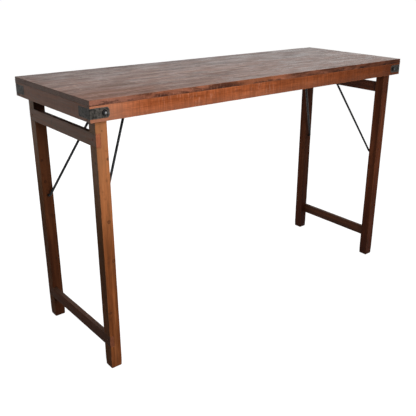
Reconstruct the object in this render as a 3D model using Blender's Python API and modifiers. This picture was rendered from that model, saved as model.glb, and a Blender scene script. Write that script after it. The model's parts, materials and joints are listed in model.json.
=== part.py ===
"""Folding bar table: a plank top on aprons, two leg frames that fold in under it, two iron braces.

Metres, +Z up. The origin is on the floor under the middle of the top, and +X runs along the table.
The left side is -X and the front is -Y. The model stands open, with both braces hooked up.
"""

import math

import bmesh
import bpy
from mathutils import Matrix, Vector

# Overall size
TABLE_LENGTH = 1.700
TABLE_DEPTH = 0.600
TABLE_HEIGHT = 1.060

# Planks of the top. Between the front ones and the rear one, a wide plank takes the depth that is left.
PLANK_THICK = 0.020
FRONT_PLANK_WIDTHS = (0.102, 0.106, 0.122)
REAR_PLANK_WIDTH = 0.098
PLANK_SEAM = 0.0005
PLANK_EASE = 0.0012

# Aprons under the planks' edges
APRON_HEIGHT = 0.054
APRON_THICK = 0.025
END_APRON_THICK = 0.0315
APRON_EASE = 0.0010

# Legs. Their tops are round about the pivot, so that they turn under the planks.
LEG_WIDTH = 0.045
LEG_DEPTH = 0.045
LEG_TOP_CLEAR = 0.0025
LEG_EASE = 0.0015
FOOT_EASE = 0.004

# Rails and stretchers, let into the legs' outer faces
RAIL_THICK = 0.0175
RAIL_HEIGHT = 0.048
RAIL_BELOW_APRON = 0.047
STRETCHER_HEIGHT = 0.048
STRETCHER_RISE = 0.097
RAIL_EASE = 0.0010
PEG_DIA = 0.008
PEG_LENGTH = 0.032

# Pivot bolts and what is threaded on them
BOLT_DIA = 0.010
BOLT_HEAD_DIA = 0.021
BOLT_HEAD_HEIGHT = 0.008
BOLT_TAIL = 0.004
SPACER_DIA = 0.030
SPACER_THICK = 0.006
WASHER_DIA = 0.026
WASHER_THICK = 0.0025
NUT_FLATS = 0.017
NUT_THICK = 0.008

# Corner straps of flat iron, let into the aprons
STRAP_HEIGHT = 0.036
STRAP_THICK = 0.003
STRAP_PROUD = 0.0005
STRAP_END_LENGTH = 0.077
STRAP_BEND = 0.0035
STRAP_PAST_BOLT = 0.018
STRAP_NOSE = 0.012

# Braces: one bent rod for each frame, hung between the legs and hooked up under the top
ROD_DIA = 0.010
ROD_BEND = 0.012
BRACE_DROP = 0.439
BRACE_REACH = 0.2175
BAR_WIDTH = 0.171
BAR_DROP = 0.030
STUB_OFFSET = 0.0145
STUB_DEPTH = 0.024

# Battens under the planks, and the hooks that hold the braces' cross bars
BATTEN_WIDTH = 0.060
BATTEN_THICK = 0.014
BATTEN_LEG_CLEAR = 0.010
CATCH_LIP = 0.020
GROOVE_DEPTH = 0.002
HOOK_THICK = 0.003
HOOK_WIDTH = 0.036
HOOK_FLANGE = 0.032
HOOK_CLEAR = 0.001
HOOK_WRAP = math.radians(103)

# Fits
SEAT_GAP = 0.0003
HOLE_CLEAR = 0.0003
STOP_GAP = 0.0005

# Facets of round shapes, how far a cutter runs past what it cuts, and what counts as one point or one face
ROUND_STEPS = 16
ARC_STEPS = 8
BEND_STEPS = 4
FOOT_STEPS = 2
ROD_BEVEL_STEPS = 2
SMOOTH_ANGLE = math.radians(35)
OVERCUT = 0.010
SAME_POINT = 0.00001
SAME_FACE = math.radians(0.1)

# Places that follow from the sizes
PLANK_UNDER = TABLE_HEIGHT - PLANK_THICK
SEAT_UNDER = PLANK_UNDER - SEAT_GAP
APRON_BOTTOM = SEAT_UNDER - APRON_HEIGHT
PIVOT_Z = PLANK_UNDER - LEG_TOP_CLEAR - LEG_WIDTH / 2
LEG_OUT_X = TABLE_LENGTH / 2 - END_APRON_THICK - STOP_GAP
PIVOT_X = LEG_OUT_X - LEG_WIDTH / 2
LEG_OUT_Y = TABLE_DEPTH / 2 - APRON_THICK - SPACER_THICK - 2 * SEAT_GAP
LEG_IN_Y = LEG_OUT_Y - LEG_DEPTH
RAIL_Z = APRON_BOTTOM - RAIL_BELOW_APRON - RAIL_HEIGHT / 2
STRETCHER_Z = STRETCHER_RISE + STRETCHER_HEIGHT / 2
BRACE_Z = PIVOT_Z - BRACE_DROP
BAR_Z = PLANK_UNDER - BAR_DROP
BAR_X = PIVOT_X - BRACE_REACH
CATCH_UNDER = BAR_Z + ROD_DIA / 2 + SEAT_GAP
BATTEN_HALF = LEG_IN_Y - BATTEN_LEG_CLEAR
STRAP_INNER = STRAP_PROUD - STRAP_THICK
POCKET_HALF = STRAP_HEIGHT / 2 + SEAT_GAP

SIDES = (("left", -1), ("right", 1))
ENDS = (("front", -1), ("rear", 1))


# Scene and materials


def clear_scene():
    for obj in list(bpy.data.objects):
        bpy.data.objects.remove(obj, do_unlink=True)


def new_collection(name):
    collection = bpy.data.collections.new(name)
    bpy.context.scene.collection.children.link(collection)
    return collection


def new_material(name, colour, roughness, metallic=0.0):
    material = bpy.data.materials.new(name)
    material.use_nodes = True
    shader = material.node_tree.nodes["Principled BSDF"]
    shader.inputs["Base Color"].default_value = (*colour, 1.0)
    shader.inputs["Roughness"].default_value = roughness
    shader.inputs["Metallic"].default_value = metallic
    return material


clear_scene()
TABLE = new_collection("folding_bar_table")
CUTTERS = new_collection("cutters")
TOP_WOOD = new_material("top_wood", (0.20, 0.12, 0.085), 0.45)
APRON_WOOD = new_material("apron_wood", (0.30, 0.105, 0.035), 0.50)
LEG_WOOD = new_material("leg_wood", (0.22, 0.085, 0.032), 0.55)
PEG_WOOD = new_material("peg_wood", (0.12, 0.050, 0.022), 0.60)
STRAP_IRON = new_material("strap_iron", (0.045, 0.043, 0.040), 0.55, 0.8)
BOLT_IRON = new_material("bolt_iron", (0.060, 0.058, 0.056), 0.40, 0.9)
ROD_IRON = new_material("rod_iron", (0.025, 0.027, 0.030), 0.40, 0.8)


# Making pieces


def place(obj, world, pivot):
    """Puts an object at a place in the world, under its pivot if it moves."""
    obj.location = Vector(world)
    if pivot is not None:
        obj.location -= Vector(pivot["world"])
        obj.parent = pivot
    return obj


def new_pivot(name, world, parent=None):
    """An empty on a joint's axis."""
    empty = bpy.data.objects.new(name, None)
    empty.empty_display_size = LEG_WIDTH
    empty["world"] = world
    TABLE.objects.link(empty)
    return place(empty, world, parent)


def new_piece(name, mesh, material, world=(0, 0, 0), pivot=None):
    mesh.name = name
    mesh.materials.append(material)
    obj = bpy.data.objects.new(name, mesh)
    TABLE.objects.link(obj)
    return place(obj, world, pivot)


def new_cutter(name, mesh, world):
    mesh.name = name
    obj = bpy.data.objects.new(name, mesh)
    CUTTERS.objects.link(obj)
    obj.hide_render = True
    obj.display_type = "WIRE"
    obj.location = world
    return obj


def cut(obj, cutter):
    boolean = obj.modifiers.new(cutter.name, "BOOLEAN")
    boolean.operation = "DIFFERENCE"
    boolean.object = cutter


def ease_edges(obj, width):
    bevel = obj.modifiers.new("eased_edges", "BEVEL")
    bevel.width = width
    bevel.segments = 1
    bevel.limit_method = "ANGLE"


def smooth(mesh):
    mesh.shade_smooth()
    mesh.set_sharp_from_angle(angle=SMOOTH_ANGLE)


# Shapes


def to_mesh(build):
    bm = bmesh.new()
    build(bm)
    mesh = bpy.data.meshes.new("shape")
    bm.to_mesh(mesh)
    bm.free()
    return mesh


def box_mesh(size):
    scale = Matrix.Diagonal((*size, 1.0))
    return to_mesh(lambda bm: bmesh.ops.create_cube(bm, size=1.0, matrix=scale))


def rod_mesh(diameter, length, axis):
    """A plain cylinder along one axis, centred on the origin."""
    turn = Vector((0, 0, 1)).rotation_difference(Vector(axis)).to_matrix().to_4x4()
    half = diameter / 2
    mesh = to_mesh(
        lambda bm: bmesh.ops.create_cone(
            bm, cap_ends=True, segments=ROUND_STEPS, radius1=half, radius2=half, depth=length, matrix=turn
        )
    )
    smooth(mesh)
    return mesh


def arc(centre, radius, start, end, steps=ARC_STEPS):
    """Points of a flat arc, from one angle to another."""
    angles = [start + (end - start) * i / steps for i in range(steps + 1)]
    return [(centre[0] + radius * math.cos(a), centre[1] + radius * math.sin(a)) for a in angles]


def plate_mesh(outlines, thickness, turn=Matrix()):
    """A flat plate from closed outlines, the inner ones being holes, turned into place."""
    curve = bpy.data.curves.new("outline", "CURVE")
    curve.dimensions = "2D"
    curve.fill_mode = "BOTH"
    curve.extrude = thickness / 2
    for outline in outlines:
        spline = curve.splines.new("POLY")
        spline.points.add(len(outline) - 1)
        spline.use_cyclic_u = True
        for point, (u, v) in zip(spline.points, outline):
            point.co = (u, v, 0, 1)
    holder = bpy.data.objects.new("outline", curve)
    TABLE.objects.link(holder)
    bpy.context.view_layer.update()
    mesh = bpy.data.meshes.new_from_object(holder.evaluated_get(bpy.context.evaluated_depsgraph_get()))
    bpy.data.objects.remove(holder)
    bpy.data.curves.remove(curve)
    bm = bmesh.new()
    bm.from_mesh(mesh)
    bmesh.ops.remove_doubles(bm, verts=bm.verts, dist=SAME_POINT)
    bmesh.ops.dissolve_limit(bm, angle_limit=SAME_FACE, verts=bm.verts, edges=bm.edges)
    bmesh.ops.recalc_face_normals(bm, faces=bm.faces)
    bm.to_mesh(mesh)
    bm.free()
    mesh.transform(turn)
    return mesh


def standing(sx):
    """Turns a flat outline (u, v) upright: u runs along X, v along Z, turned round for the left side."""
    return Matrix(((sx, 0, 0, 0), (0, 0, -sx, 0), (0, 1, 0, 0), (0, 0, 0, 1)))


def turned_piece(name, profile, material, world, facing):
    """A profile of (radius, height) points turned about an axis that runs along Y."""
    mesh = to_mesh(lambda bm: profile_edges(bm, profile))
    obj = new_piece(name, mesh, material, world)
    obj.rotation_euler = (-facing * math.pi / 2, 0, 0)
    screw = obj.modifiers.new("turned", "SCREW")
    screw.axis = "Z"
    screw.angle = math.tau
    screw.steps = ROUND_STEPS
    screw.render_steps = ROUND_STEPS
    screw.use_merge_vertices = True
    screw.merge_threshold = SAME_POINT
    screw.use_smooth_shade = True
    return obj


def profile_edges(bm, profile):
    verts = [bm.verts.new((radius, 0, height)) for radius, height in profile]
    closed = profile[0][0] > 0
    for a, b in zip(verts, verts[1:] + verts[:1] if closed else verts[1:]):
        bm.edges.new((a, b))


def ring_profile(inner, outer, thickness):
    half = thickness / 2
    return [(outer, half), (outer, -half), (inner, -half), (inner, half)]


def filleted(corners, radius, steps=BEND_STEPS):
    """A path through corner points with each inner corner rounded to the radius."""
    points = [corners[0]]
    for before, corner, after in zip(corners, corners[1:], corners[2:]):
        back = (before - corner).normalized()
        ahead = (after - corner).normalized()
        half_angle = back.angle(ahead) / 2
        middle = corner + (back + ahead).normalized() * (radius / math.sin(half_angle))
        start = corner + back * (radius / math.tan(half_angle)) - middle
        end = corner + ahead * (radius / math.tan(half_angle)) - middle
        turn = start.rotation_difference(end)
        for i in range(steps + 1):
            step = turn.copy()
            step.angle = turn.angle * i / steps
            points.append(middle + step @ start)
    return points + [corners[-1]]


# Joint axes

FRAME_PIVOTS = {}
BRACE_PIVOTS = {}
for side, sx in SIDES:
    frame_pivot = new_pivot(f"{side}_frame_pivot", (sx * PIVOT_X, 0, PIVOT_Z))
    FRAME_PIVOTS[side] = frame_pivot
    BRACE_PIVOTS[side] = new_pivot(f"{side}_brace_pivot", (sx * PIVOT_X, 0, BRACE_Z), frame_pivot)


# Drills, housings and pockets shared by the pieces that fit together


def nose_end(past, half, radius):
    """The rounded end of a strap about its pivot bolt, from its lower edge round to its upper edge."""
    lower = arc((radius - past, radius - half), radius, -math.pi / 2, -math.pi)
    return lower + [(u, -v) for u, v in reversed(lower)]


PIVOT_DRILLS = {}
BRACE_DRILLS = {}
HOUSINGS = {}
SIDE_POCKETS = {}
END_POCKETS = {}
for side, sx in SIDES:
    PIVOT_DRILLS[side] = new_cutter(
        f"{side}_pivot_drill",
        rod_mesh(BOLT_DIA + 2 * HOLE_CLEAR, TABLE_DEPTH + 2 * OVERCUT, (0, 1, 0)),
        (sx * PIVOT_X, 0, PIVOT_Z),
    )
    BRACE_DRILLS[side] = new_cutter(
        f"{side}_brace_drill",
        rod_mesh(ROD_DIA + 2 * HOLE_CLEAR, 2 * (LEG_IN_Y + STUB_DEPTH + SEAT_GAP), (0, 1, 0)),
        (sx * PIVOT_X, 0, BRACE_Z),
    )
    HOUSINGS[side] = [
        new_cutter(
            f"{side}_{name}_housing",
            box_mesh((RAIL_THICK + SEAT_GAP + OVERCUT, 2 * (LEG_OUT_Y + OVERCUT), height + 2 * SEAT_GAP)),
            (sx * (LEG_OUT_X - (RAIL_THICK + SEAT_GAP - OVERCUT) / 2), 0, z),
        )
        for name, height, z in (
            ("rail", RAIL_HEIGHT, RAIL_Z),
            ("stretcher", STRETCHER_HEIGHT, STRETCHER_Z),
        )
    ]
    pocket = SEAT_GAP - STRAP_INNER
    past_corner = TABLE_LENGTH / 2 - PIVOT_X + OVERCUT
    side_outline = nose_end(STRAP_PAST_BOLT + SEAT_GAP, POCKET_HALF, STRAP_NOSE + SEAT_GAP)
    side_outline += [(past_corner, POCKET_HALF), (past_corner, -POCKET_HALF)]
    for end, sy in ENDS:
        SIDE_POCKETS[end, side] = new_cutter(
            f"{end}_{side}_side_pocket",
            plate_mesh([side_outline], pocket + OVERCUT, standing(sx)),
            (sx * PIVOT_X, sy * (TABLE_DEPTH + OVERCUT - pocket) / 2, PIVOT_Z),
        )
        END_POCKETS[end, side] = new_cutter(
            f"{end}_{side}_end_pocket",
            box_mesh((pocket + OVERCUT, STRAP_END_LENGTH + SEAT_GAP + OVERCUT, 2 * POCKET_HALF)),
            (
                sx * (TABLE_LENGTH + OVERCUT - pocket) / 2,
                sy * (TABLE_DEPTH + OVERCUT - STRAP_END_LENGTH - SEAT_GAP) / 2,
                PIVOT_Z,
            ),
        )


# Top: planks laid lengthwise, side by side


def add_planks():
    wide = TABLE_DEPTH - sum(FRONT_PLANK_WIDTHS) - REAR_PLANK_WIDTH
    widths = FRONT_PLANK_WIDTHS + (wide, REAR_PLANK_WIDTH)
    front = -TABLE_DEPTH / 2
    for number, width in enumerate(widths, start=1):
        rear = front + width
        low = front + (PLANK_SEAM / 2 if number > 1 else 0)
        high = rear - (PLANK_SEAM / 2 if number < len(widths) else 0)
        plank = new_piece(
            f"top_plank_{number}",
            box_mesh((TABLE_LENGTH, high - low, PLANK_THICK)),
            TOP_WOOD,
            (0, (low + high) / 2, TABLE_HEIGHT - PLANK_THICK / 2),
        )
        ease_edges(plank, PLANK_EASE)
        front = rear


# Aprons: the long ones run the full length, the end ones fit between them


def add_aprons():
    z = SEAT_UNDER - APRON_HEIGHT / 2
    for end, sy in ENDS:
        apron = new_piece(
            f"{end}_apron",
            box_mesh((TABLE_LENGTH, APRON_THICK, APRON_HEIGHT)),
            APRON_WOOD,
            (0, sy * (TABLE_DEPTH - APRON_THICK) / 2, z),
        )
        ease_edges(apron, APRON_EASE)
        for side, _ in SIDES:
            for cutter in (PIVOT_DRILLS[side], SIDE_POCKETS[end, side], END_POCKETS[end, side]):
                cut(apron, cutter)
    between = TABLE_DEPTH - 2 * (APRON_THICK + SEAT_GAP)
    for side, sx in SIDES:
        apron = new_piece(
            f"{side}_end_apron",
            box_mesh((END_APRON_THICK, between, APRON_HEIGHT)),
            APRON_WOOD,
            (sx * (TABLE_LENGTH - END_APRON_THICK) / 2, 0, z),
        )
        ease_edges(apron, APRON_EASE)
        for end, _ in ENDS:
            cut(apron, END_POCKETS[end, side])


# Battens: a plain one in the middle, and one over each cross bar with a groove that the bar rises into


def add_battens():
    middle = new_piece(
        "middle_batten",
        box_mesh((BATTEN_WIDTH, 2 * BATTEN_HALF, BATTEN_THICK)),
        APRON_WOOD,
        (0, 0, SEAT_UNDER - BATTEN_THICK / 2),
    )
    ease_edges(middle, RAIL_EASE)
    thick = SEAT_UNDER - CATCH_UNDER
    for side, sx in SIDES:
        batten = new_piece(
            f"{side}_catch_batten",
            box_mesh((BATTEN_WIDTH, 2 * BATTEN_HALF, thick)),
            APRON_WOOD,
            (sx * (BAR_X - CATCH_LIP + BATTEN_WIDTH / 2), 0, CATCH_UNDER + thick / 2),
        )
        ease_edges(batten, RAIL_EASE)
        groove = new_cutter(
            f"{side}_bar_groove",
            rod_mesh(ROD_DIA + 2 * HOLE_CLEAR, 2 * (BATTEN_HALF + OVERCUT), (0, 1, 0)),
            (sx * BAR_X, 0, CATCH_UNDER + GROOVE_DEPTH - ROD_DIA / 2 - HOLE_CLEAR),
        )
        cut(batten, groove)


# Hooks: flat iron, bent down and under the cross bar, open towards the middle of the table


def add_hooks():
    inner = ROD_DIA / 2 + HOOK_CLEAR
    outer = inner + HOOK_THICK
    top = CATCH_UNDER - SEAT_GAP - BAR_Z
    outline = [(inner + HOOK_FLANGE, top), (inner, top)]
    outline += arc((0, 0), inner, 0, -HOOK_WRAP)
    outline += arc((0, 0), outer, -HOOK_WRAP, 0)
    outline += [(outer, top - HOOK_THICK), (inner + HOOK_FLANGE, top - HOOK_THICK)]
    for side, sx in SIDES:
        hook = plate_mesh([outline], HOOK_WIDTH, standing(sx))
        new_piece(f"{side}_brace_hook", hook, STRAP_IRON, (sx * BAR_X, 0, BAR_Z))


# Corner straps: a bar bent round the corner, its long-side end rounded off


def add_straps():
    near, far = STRAP_INNER, STRAP_PROUD
    run = PIVOT_X - TABLE_LENGTH / 2 - STRAP_PAST_BOLT - OVERCUT / 2
    inner_bend = max(STRAP_BEND - STRAP_THICK, SEAT_GAP / 2)
    bend_steps = 2 * BEND_STEPS
    plan = [(run, far)]
    plan += arc((far - STRAP_BEND, far - STRAP_BEND), STRAP_BEND, math.pi / 2, 0, bend_steps)
    plan += [(far, -STRAP_END_LENGTH), (near, -STRAP_END_LENGTH)]
    plan += arc((near - inner_bend, near - inner_bend), inner_bend, 0, math.pi / 2, bend_steps)
    plan += [(run, near)]
    bite_past = STRAP_PAST_BOLT + OVERCUT
    bite_half = STRAP_HEIGHT / 2 + OVERCUT
    bite = [(-bite_past, -bite_half), (STRAP_NOSE - STRAP_PAST_BOLT, -bite_half)]
    bite += nose_end(STRAP_PAST_BOLT, STRAP_HEIGHT / 2, STRAP_NOSE)
    bite += [(STRAP_NOSE - STRAP_PAST_BOLT, bite_half), (-bite_past, bite_half)]
    for side, sx in SIDES:
        nose_cutter = new_cutter(
            f"{side}_strap_nose",
            plate_mesh([bite], TABLE_DEPTH + 4 * OVERCUT, standing(sx)),
            (sx * PIVOT_X, 0, PIVOT_Z),
        )
        for end, sy in ENDS:
            mirror = Matrix.Diagonal((sx, sy, 1, 1))
            mesh = plate_mesh([plan], STRAP_HEIGHT, mirror)
            if sx * sy < 0:
                mesh.flip_normals()
            strap = new_piece(
                f"{end}_{side}_strap",
                mesh,
                STRAP_IRON,
                (sx * TABLE_LENGTH / 2, sy * TABLE_DEPTH / 2, PIVOT_Z),
            )
            cut(strap, nose_cutter)
            cut(strap, PIVOT_DRILLS[side])


# Pivot bolts with their spacers, washers and nuts


def dome(diameter, height):
    """Half the outline of a domed head, from its crown to its rim."""
    radius = ((diameter / 2) ** 2 + height**2) / (2 * height)
    rim = math.asin(min(1.0, diameter / 2 / radius))
    if height > radius:
        rim = math.pi - rim
    return [
        (radius * math.sin(rim * i / ARC_STEPS), height - radius * (1 - math.cos(rim * i / ARC_STEPS)))
        for i in range(ARC_STEPS + 1)
    ]


def add_pivots():
    head_seat = TABLE_DEPTH / 2 + STRAP_PROUD + SEAT_GAP
    spacer_y = LEG_OUT_Y + SEAT_GAP + SPACER_THICK / 2
    washer_y = LEG_IN_Y - SEAT_GAP - WASHER_THICK / 2
    nut_y = washer_y - WASHER_THICK / 2 - SEAT_GAP - NUT_THICK / 2
    shank_end = nut_y - NUT_THICK / 2 - BOLT_TAIL
    shank = head_seat - shank_end
    hole = BOLT_DIA / 2 + HOLE_CLEAR
    bolt = dome(BOLT_HEAD_DIA, BOLT_HEAD_HEIGHT)
    bolt += [(BOLT_DIA / 2, 0), (BOLT_DIA / 2, -shank), (0, -shank)]
    flats = NUT_FLATS / math.sqrt(3)
    hexagon = arc((0, 0), flats, 0, math.tau * 5 / 6, 5)
    bore = arc((0, 0), hole, 0, math.tau * (1 - 1 / ROUND_STEPS), ROUND_STEPS - 1)
    spacer = ring_profile(hole, SPACER_DIA / 2, SPACER_THICK)
    washer = ring_profile(hole, WASHER_DIA / 2, WASHER_THICK)
    turned = (
        ("pivot_bolt", bolt, head_seat),
        ("spacer", spacer, spacer_y),
        ("washer", washer, washer_y),
    )
    for side, sx in SIDES:
        for end, sy in ENDS:
            for name, profile, y in turned:
                on_axis = (sx * PIVOT_X, sy * y, PIVOT_Z)
                turned_piece(f"{end}_{side}_{name}", profile, BOLT_IRON, on_axis, sy)
            nut = plate_mesh([hexagon, bore], NUT_THICK, standing(sx))
            new_piece(f"{end}_{side}_nut", nut, BOLT_IRON, (sx * PIVOT_X, sy * nut_y, PIVOT_Z))


# Leg frames: two legs, an upper rail and a stretcher, lapped and pegged


def leg_mesh(sx):
    """A leg about its pivot, round at the top, with its foot's edges eased more than the rest."""
    half = LEG_WIDTH / 2
    outline = arc((0, 0), half, 0, math.pi) + [(-half, -PIVOT_Z), (half, -PIVOT_Z)]
    mesh = plate_mesh([outline], LEG_DEPTH, standing(sx))
    bm = bmesh.new()
    bm.from_mesh(mesh)
    floor_edges = [e for e in bm.edges if all(v.co.z < SAME_POINT - PIVOT_Z for v in e.verts)]
    bmesh.ops.bevel(
        bm, geom=floor_edges, offset=FOOT_EASE, segments=FOOT_STEPS, profile=0.5, affect="EDGES"
    )
    bm.to_mesh(mesh)
    bm.free()
    return mesh


def add_frames():
    crossings = (("rail", RAIL_HEIGHT, RAIL_Z), ("stretcher", STRETCHER_HEIGHT, STRETCHER_Z))
    for side, sx in SIDES:
        pivot = FRAME_PIVOTS[side]
        legs = {}
        for end, sy in ENDS:
            leg = new_piece(
                f"{end}_{side}_leg",
                leg_mesh(sx),
                LEG_WOOD,
                (sx * PIVOT_X, sy * (LEG_OUT_Y - LEG_DEPTH / 2), PIVOT_Z),
                pivot,
            )
            ease_edges(leg, LEG_EASE)
            for cutter in HOUSINGS[side] + [PIVOT_DRILLS[side], BRACE_DRILLS[side]]:
                cut(leg, cutter)
            legs[end] = leg
        for name, height, z in crossings:
            rail = new_piece(
                f"{side}_{name}",
                box_mesh((RAIL_THICK, 2 * LEG_OUT_Y, height)),
                LEG_WOOD,
                (sx * (LEG_OUT_X - RAIL_THICK / 2), 0, z),
                pivot,
            )
            ease_edges(rail, RAIL_EASE)
            for end, sy in ENDS:
                add_peg(f"{end}_{side}_{name}_peg", sx, sy, z, pivot, (rail, legs[end]))


def add_peg(name, sx, sy, z, pivot, through):
    """A peg flush with the lap's outer face, and the hole for it in the rail and the leg."""
    y = sy * (LEG_OUT_Y - LEG_DEPTH / 2)
    drill_length = PEG_LENGTH + SEAT_GAP + OVERCUT
    drill = new_cutter(
        f"{name}_drill",
        rod_mesh(PEG_DIA + 2 * HOLE_CLEAR, drill_length, (1, 0, 0)),
        (sx * (LEG_OUT_X + OVERCUT - drill_length / 2), y, z),
    )
    for piece in through:
        cut(piece, drill)
    peg = rod_mesh(PEG_DIA, PEG_LENGTH, (1, 0, 0))
    new_piece(name, peg, PEG_WOOD, (sx * (LEG_OUT_X - PEG_LENGTH / 2), y, z), pivot)


# Braces: a bent rod with a stub in each leg and a cross bar between its two arms


def add_braces():
    arm_y = LEG_IN_Y - STUB_OFFSET
    stub_y = LEG_IN_Y + STUB_DEPTH
    for side, sx in SIDES:
        bar = (-sx * BRACE_REACH, BAR_Z - BRACE_Z)
        half_path = [(0, -stub_y, 0), (0, -arm_y, 0), (bar[0], -BAR_WIDTH / 2, bar[1])]
        other_half = [(x, -y, z) for x, y, z in reversed(half_path)]
        path = filleted([Vector(point) for point in half_path + other_half], ROD_BEND)
        curve = bpy.data.curves.new(f"{side}_brace", "CURVE")
        curve.dimensions = "3D"
        curve.bevel_depth = ROD_DIA / 2
        curve.bevel_resolution = ROD_BEVEL_STEPS
        curve.use_fill_caps = True
        spline = curve.splines.new("POLY")
        spline.points.add(len(path) - 1)
        for point, place_on_path in zip(spline.points, path):
            point.co = (*place_on_path, 1)
        curve.materials.append(ROD_IRON)
        brace = bpy.data.objects.new(f"{side}_brace", curve)
        TABLE.objects.link(brace)
        place(brace, (sx * PIVOT_X, 0, BRACE_Z), BRACE_PIVOTS[side])


add_planks()
add_aprons()
add_battens()
add_hooks()
add_straps()
add_pivots()
add_frames()
add_braces()
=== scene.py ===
"""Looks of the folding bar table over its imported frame: worn wood, hammered iron, a pale studio.

Metres, +Z up. The left side is -X and the front is -Y. Every piece takes its size and place from its node.
"""

import json
from functools import partialmethod
from math import asin, cos, pi, radians, sin, sqrt, tan, tau

import bmesh
import bpy
import numpy as np
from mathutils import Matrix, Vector, noise


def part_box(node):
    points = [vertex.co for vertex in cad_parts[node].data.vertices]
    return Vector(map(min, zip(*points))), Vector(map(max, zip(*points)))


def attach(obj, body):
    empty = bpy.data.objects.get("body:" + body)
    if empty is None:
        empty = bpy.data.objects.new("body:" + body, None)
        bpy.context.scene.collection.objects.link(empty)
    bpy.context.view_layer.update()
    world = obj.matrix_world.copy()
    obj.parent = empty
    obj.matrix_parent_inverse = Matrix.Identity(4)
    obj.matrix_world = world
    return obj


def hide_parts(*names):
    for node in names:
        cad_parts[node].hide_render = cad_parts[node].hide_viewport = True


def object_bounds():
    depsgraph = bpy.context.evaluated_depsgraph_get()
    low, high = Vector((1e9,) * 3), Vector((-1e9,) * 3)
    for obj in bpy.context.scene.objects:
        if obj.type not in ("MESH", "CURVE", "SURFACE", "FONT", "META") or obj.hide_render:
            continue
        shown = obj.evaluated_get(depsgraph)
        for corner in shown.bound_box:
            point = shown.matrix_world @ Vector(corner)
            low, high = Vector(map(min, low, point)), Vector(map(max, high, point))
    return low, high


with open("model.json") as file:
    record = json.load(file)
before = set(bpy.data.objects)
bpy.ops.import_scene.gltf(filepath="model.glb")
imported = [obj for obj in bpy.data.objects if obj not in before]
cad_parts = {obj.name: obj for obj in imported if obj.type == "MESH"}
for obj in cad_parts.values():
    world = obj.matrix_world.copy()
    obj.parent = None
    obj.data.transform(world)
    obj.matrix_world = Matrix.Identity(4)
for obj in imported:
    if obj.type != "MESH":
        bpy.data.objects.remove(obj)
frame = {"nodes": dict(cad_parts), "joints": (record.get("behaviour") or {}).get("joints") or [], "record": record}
CAD_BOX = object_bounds()

SIDES = (("left", -1), ("right", 1))
ENDS = (("front", -1), ("rear", 1))
CORNERS = [(f"{end}_{side}", side, sx, sy) for side, sx in SIDES for end, sy in ENDS]
PLANKS = range(1, 6)
PLANK_BOXES = [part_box(f"top_plank_{number}") for number in PLANKS]
TOP_LOW = Vector([min(low[i] for low, _ in PLANK_BOXES) for i in range(3)])
TOP_HIGH = Vector([max(high[i] for _, high in PLANK_BOXES) for i in range(3)])
BODY_OF = {node: body for body, nodes in frame["record"]["behaviour"]["bodies"].items() for node in nodes}

# Camera
CAMERA_PLACE = (-1.7360, -2.0154, 1.4432)
CAMERA_TURN_DEG = (68.984, -0.573, -40.362)
CAMERA_LENS = 51.384
CAMERA_SENSOR = 36.0
CAMERA_SHIFT = (-0.0451, -0.0155)

# Wood shapes: grid steps, and how far edges are rounded, worn and dented
LONG_STEP = 0.012
SIDE_STEP = 0.008
EDGE_LINES = (0.0, 0.0006, 0.0014, 0.0026, 0.0045, 0.0080)
EDGE_LINES_SHARE = 0.45
SEAM_ROUND = 0.0004
TOP_ROUND = 0.0018
TOP_WEAR = 0.0030
RIM_WIDTH = 0.004
RIM_FADE = 0.010
APRON_ROUND = 0.0008
APRON_WEAR = 0.0014
LEG_ROUND = 0.0012
LEG_WEAR = 0.0014
FOOT_ROUND = 0.0045
FOOT_HEIGHT = 0.030
RAIL_ROUND = 0.0006
RAIL_WEAR = 0.0016
DENT_DEPTH = 0.0006
CUP_DEPTH = 0.0005
FACES_UP = 0.9

# Worn patches: broad ones per metre, small ones per metre, and the share of the small ones
TOP_PATCHES = (26, 110, 0.25)
BOARD_PATCHES = (22, 90, 0.3)
LEG_PATCHES = (14, 70, 0.3)

# Dents: how many per metre along each axis, the noise that it takes to make one, and a seed of their own
TOP_DENTS = ((40, 60, 60), 0.25, 9.0)
BOARD_DENTS = ((30, 30, 30), 0.3, 5.0)
LEG_DENTS = ((26, 26, 12), 0.3, 5.0)

# Iron shapes
STRAP_THICK = 0.0030
STRAP_BEND = 0.0035
STRAP_NOSE = 0.0120
STRAP_ROUND = 0.0007
STRAP_STEP = 0.003
STRAP_WAVE = 0.0006
STRAP_WAVES_PER_METRE = 55
BAR_WIDTH = 0.171
STUB_OFFSET = 0.0145
ROD_DIA = 0.010
ROD_BEND = 0.012
BOLT_DIA = 0.010
HEAD_HEIGHT = 0.008
HEAD_UNDER_SHARE = 0.985
CROWN_WEAR_AND_HIGHLIGHT_RADIUS = 0.0030
THREAD_PITCH = 0.0015
THREAD_DEPTH = 0.0006
THREAD_LENGTH = 0.018
RING_EASE = 0.0004
NUT_FACE_SHARE = 0.98
NUT_CONE_DEG = 30
PEG_DIA = 0.008
PEG_EASE = 0.0006
SCREW_DIA = 0.0085
SCREW_HEAD = 0.0022
SCREW_EASE = 0.2 * SCREW_HEAD
SCREW_SUNK = 0.0004
SCREW_AWAY = 0.014
SLOT_WIDTH = 0.0012
SLOT_DEPTH = 0.0011
SLOT_TURN = 2.4
HOOK_THICK = 0.003
HOOK_EASE = 0.0005
HOOK_SCREW_Y = 0.010
HOOK_SCREW_IN = 0.012
HOOK_SCREW_PROUD = 0.0012

# Hammered hollows: their depth, and how many per metre
STRAP_HAMMERED = (0.0004, 95.0)
BOLT_HAMMERED = (0.0003, 260.0)

# Clearances, cutters, round shapes and clean meshes
FIT = 0.0003
BED_PAST = 0.005
ARC_STEPS = 9
DRILL_STEPS = 32
DOME_STEPS = 14
EASE_STEPS = 4
BEND_STEPS = 8
STRAP_ROWS = 13
MERGE = 1e-6
TINY = 1e-7
SHARP = radians(40)
FLAT = radians(1)
FAR_FROM_EDGE = 0.01

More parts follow.
